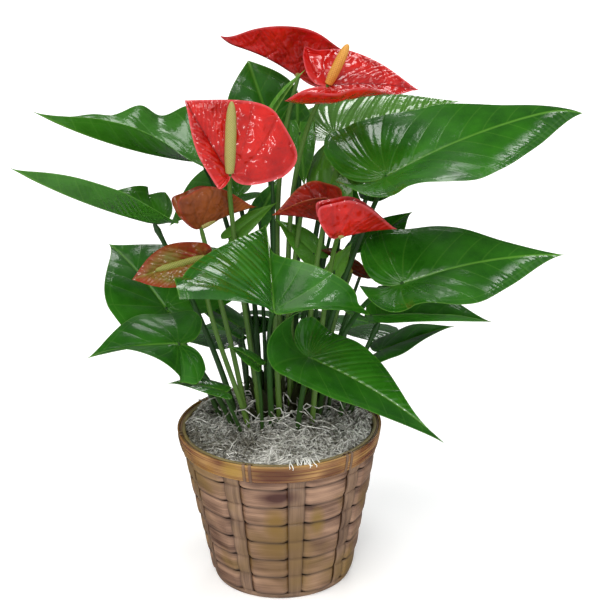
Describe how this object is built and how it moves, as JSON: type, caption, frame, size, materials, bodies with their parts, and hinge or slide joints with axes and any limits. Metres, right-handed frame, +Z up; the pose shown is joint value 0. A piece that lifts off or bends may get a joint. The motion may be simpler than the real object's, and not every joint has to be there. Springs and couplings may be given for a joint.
{
  "type": "potted anthurium",
  "caption": "Flowering anthurium with glossy heart-shaped leaves and red waxy blooms on slender stems, potted and set in a tapered woven bamboo basket topped with grey moss.",
  "frame": {"origin": "centre of the basket's underside, on the surface that it stands on", "axes": "+Z up, -Y towards the viewer, where the front leaf hangs over the rim, +X to the viewer's right"},
  "size_m": [0.4542, 0.2569, 0.4667],
  "materials": {
    "leaf": "gloss",
    "young_leaf": "gloss",
    "spathe_scarlet": "gloss",
    "spathe_crimson": "gloss",
    "spathe_bronze": "gloss",
    "spadix": "satin",
    "spadix_orange": "satin",
    "stalk": "satin",
    "bamboo": "satin",
    "hoop": "satin",
    "pot_plastic": "matte",
    "soil": "matte",
    "moss": "matte"
  },
  "bodies": {
    "root": {"leaf_upper_right": "leaf", "leaf_upper_right_back": "leaf", "leaf_middle_right": "leaf", "leaf_under_right": "leaf", "leaf_low_right": "leaf", "leaf_front_right": "leaf", "leaf_front": "leaf", "leaf_upper_left": "leaf", "leaf_left": "leaf", "leaf_left_inner": "leaf", "leaf_round_left": "leaf", "leaf_low_left": "leaf", "leaf_inner_left": "leaf", "leaf_base_left": "leaf", "leaf_small_centre": "leaf", "leaf_top_back": "leaf", "leaf_young": "young_leaf", "leaf_hanging": "leaf", "leaf_right_back": "leaf", "leaf_small_right": "leaf", "leaf_left_back": "leaf", "leaf_back_low_left": "leaf", "leaf_back_low_right": "leaf", "leaf_back_centre": "leaf", "leaf_back_right": "leaf", "bloom_top_left_spathe": "spathe_scarlet", "bloom_top_left_spadix": "spadix", "bloom_top_left_stalk": "stalk", "bloom_top_right_spathe": "spathe_scarlet", "bloom_top_right_spadix": "spadix_orange", "bloom_top_right_stalk": "stalk", "bloom_left_spathe": "spathe_scarlet", "bloom_left_spadix": "spadix", "bloom_left_stalk": "stalk", "bloom_bronze_spathe": "spathe_bronze", "bloom_bronze_spadix": "spadix", "bloom_bronze_stalk": "stalk", "bloom_bud_left_spathe": "spathe_crimson", "bloom_bud_left_spadix": "spadix", "bloom_bud_left_stalk": "stalk", "bloom_cupped_spathe": "spathe_crimson", "bloom_cupped_spadix": "spadix", "bloom_cupped_stalk": "stalk", "bloom_bright_spathe": "spathe_scarlet", "bloom_bright_spadix": "spadix", "bloom_bright_stalk": "stalk", "bloom_bud_right_spathe": "spathe_crimson", "bloom_bud_right_spadix": "spadix", "bloom_bud_right_stalk": "stalk", "basket_weave": "bamboo", "basket_rim_outer": "hoop", "basket_rim_inner": "hoop", "nursery_pot": "pot_plastic", "root_ball": "soil", "moss": "moss"}
  },
  "joints": []
}
